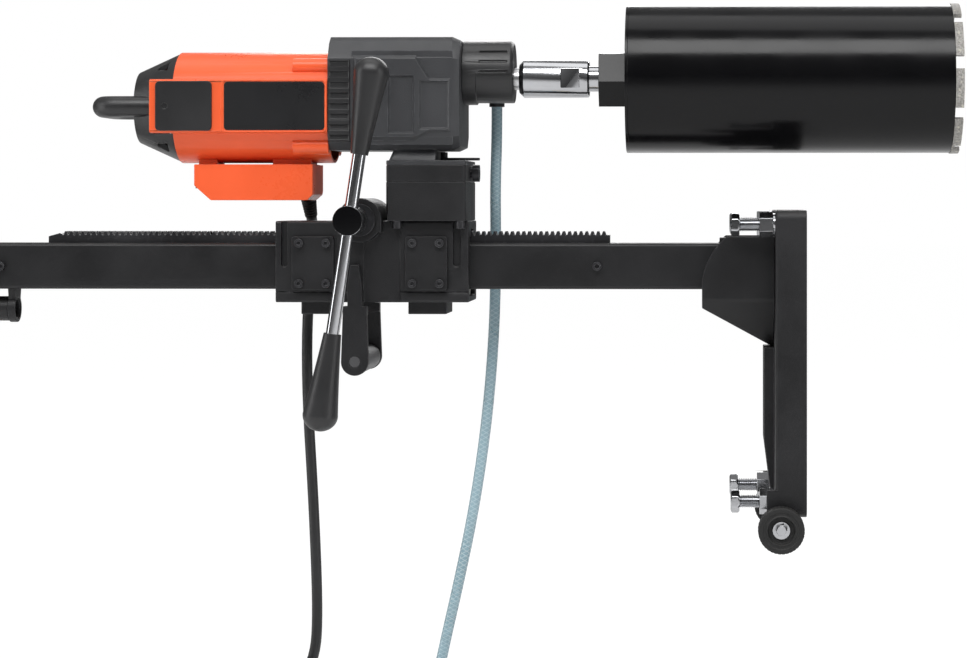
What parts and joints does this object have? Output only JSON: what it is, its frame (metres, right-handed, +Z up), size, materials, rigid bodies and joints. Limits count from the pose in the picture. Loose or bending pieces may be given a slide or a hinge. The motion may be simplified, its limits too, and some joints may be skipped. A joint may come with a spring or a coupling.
{
  "type": "core drill rig",
  "caption": "Rack-fed core drill rig on a square column with bolt-down base, crank feed, electric drill motor and a wide core bit.",
  "frame": {"origin": "centre of the base plate's wall side, on the wall's surface", "axes": "+X is the feed direction, out of the base plate's back into the wall; +Z is up; the operator stands on the -Y side"},
  "size_m": [1.172, 0.2776, 0.7877],
  "materials": {
    "coated_steel": "satin black powder coat on steel",
    "coated_casting": "satin black powder coat on cast aluminium",
    "gear_casting": "dark grey coated gearbox casting",
    "dark_steel": "blackened steel",
    "bright_steel": "bright zinc and chrome plated steel",
    "plain_steel": "machined steel",
    "black_plastic": "moulded black nylon, fine grain",
    "pad_plastic": "off-white sliding plastic",
    "grey_sleeve": "dark grey plastic sleeve",
    "black_rubber": "matt black rubber",
    "orange_plastic": "moulded orange plastic, soft gloss",
    "blank_plate": "blank black plate",
    "bit_paint": "gloss black paint on steel",
    "segment_metal": "sintered metal with grit",
    "carbon": "pressed carbon",
    "bush_brass": "turned brass",
    "hose_plastic": "pale blue clear plastic with a thin braid"
  },
  "bodies": {
    "stand": {"base_plate": "coated_casting", "gusset_bracket": "coated_steel", "column": "coated_steel", "column_end_cap": "black_plastic", "rack": "dark_steel", "column_screws": "dark_steel", "carry_handle_brackets": "coated_steel", "carry_handle_grip": "coated_steel", "wheel_bolts": "bright_steel", "levelling_nuts": "bright_steel"},
    "near_wheel": {"wheel_near": "black_rubber"},
    "far_wheel": {"wheel_far": "black_rubber"},
    "carriage": {"carriage_housing": "coated_casting", "guide_covers": "coated_steel", "carriage_screws": "dark_steel", "slide_pads": "pad_plastic", "slide_shoes": "coated_casting", "handle_legs": "coated_casting", "handle_grip": "grey_sleeve", "mount_block": "coated_casting", "adapter_plate": "coated_casting", "crank_sleeve": "dark_steel", "gearbox_housing": "gear_casting", "water_collar": "black_plastic", "water_elbow": "black_plastic", "motor_housing": "orange_plastic", "rear_cap": "black_plastic", "rear_grip": "black_plastic", "brush_covers": "black_plastic", "rating_plate": "blank_plate", "switch_box": "orange_plastic", "cord_gland": "black_rubber", "stator": "plain_steel", "carbon_brushes": "carbon", "shaft_bearings": "plain_steel", "mains_cord": "black_rubber", "mains_coil": "black_rubber", "mains_tie": "black_plastic", "mains_plug": "black_plastic", "water_hose": "hose_plastic", "hose_coil": "hose_plastic", "hose_tie": "black_plastic", "hose_connector": "bush_brass"},
    "lever": {"clamp_lever": "coated_steel"},
    "rocker": {"power_switch": "black_plastic"},
    "crank": {"pinion_shaft": "plain_steel", "crank_hub": "bright_steel"},
    "bar": {"crank_bar": "bright_steel", "crank_knobs": "black_plastic"},
    "rotor": {"armature": "plain_steel"},
    "gear_shaft": {"layshaft": "plain_steel"},
    "drive_spindle": {"spindle": "plain_steel", "bit_adapter": "bright_steel", "bit_hub": "bit_paint", "bit_barrel": "bit_paint", "bit_segments": "segment_metal"},
    "foot_upper_near": {"levelling_screw_upper_near": "bright_steel"},
    "foot_upper_far": {"levelling_screw_upper_far": "bright_steel"},
    "foot_lower_near": {"levelling_screw_lower_near": "bright_steel"},
    "foot_lower_far": {"levelling_screw_lower_far": "bright_steel"}
  },
  "joints": [
    {"name": "carriage_feed", "type": "slide", "parent": "stand", "child": "carriage", "axis": [1, 0, 0], "range_m": [-0.288, 0.13]},
    {"name": "crank_turn", "type": "hinge", "parent": "carriage", "child": "crank", "pos_m": [-0.4793, 0, 0.1516], "axis": [0, 1, 0], "range_deg": [-1180, 533]},
    {"name": "bar_slide", "type": "slide", "parent": "crank", "child": "bar", "axis": [0.1478, 0, 0.989], "range_m": [-0.045, 0.095]},
    {"name": "spindle_turn", "type": "hinge", "parent": "carriage", "child": "drive_spindle", "pos_m": [-0.3, 0, 0.306], "axis": [1, 0, 0], "continuous": true},
    {"name": "rotor_turn", "type": "hinge", "parent": "carriage", "child": "rotor", "pos_m": [-0.6, 0, 0.2745], "axis": [1, 0, 0], "continuous": true},
    {"name": "gear_shaft_turn", "type": "hinge", "parent": "carriage", "child": "gear_shaft", "pos_m": [-0.45, 0.02874, 0.27537], "axis": [1, 0, 0], "continuous": true},
    {"name": "lever_turn", "type": "hinge", "parent": "carriage", "child": "lever", "pos_m": [-0.392, -0.02, 0.22], "axis": [0, 0, 1], "range_deg": [-90, 0]},
    {"name": "rocker_tilt", "type": "hinge", "parent": "carriage", "child": "rocker", "pos_m": [-0.659, 0, 0.195], "axis": [0, 1, 0], "range_deg": [-8, 8]},
    {"name": "near_wheel_turn", "type": "hinge", "parent": "stand", "child": "near_wheel", "pos_m": [-0.0275, -0.114, -0.1734], "axis": [0, 1, 0], "continuous": true},
    {"name": "far_wheel_turn", "type": "hinge", "parent": "stand", "child": "far_wheel", "pos_m": [-0.0275, 0.114, -0.1734], "axis": [0, 1, 0], "continuous": true},
    {"name": "foot_upper_near_screw", "type": "slide", "parent": "stand", "child": "foot_upper_near", "axis": [1, 0, 0], "range_m": [-0.01, 0.015]},
    {"name": "foot_upper_far_screw", "type": "slide", "parent": "stand", "child": "foot_upper_far", "axis": [1, 0, 0], "range_m": [-0.01, 0.015]},
    {"name": "foot_lower_near_screw", "type": "slide", "parent": "stand", "child": "foot_lower_near", "axis": [1, 0, 0], "range_m": [-0.01, 0.015]},
    {"name": "foot_lower_far_screw", "type": "slide", "parent": "stand", "child": "foot_lower_far", "axis": [1, 0, 0], "range_m": [-0.01, 0.015]}
  ],
  "couplings": [
    {"joint": "crank_turn", "follows": "carriage_feed", "rad_per_m": 71.429},
    {"joint": "rotor_turn", "follows": "spindle_turn", "ratio": 10.8},
    {"joint": "gear_shaft_turn", "follows": "spindle_turn", "ratio": -3}
  ]
}
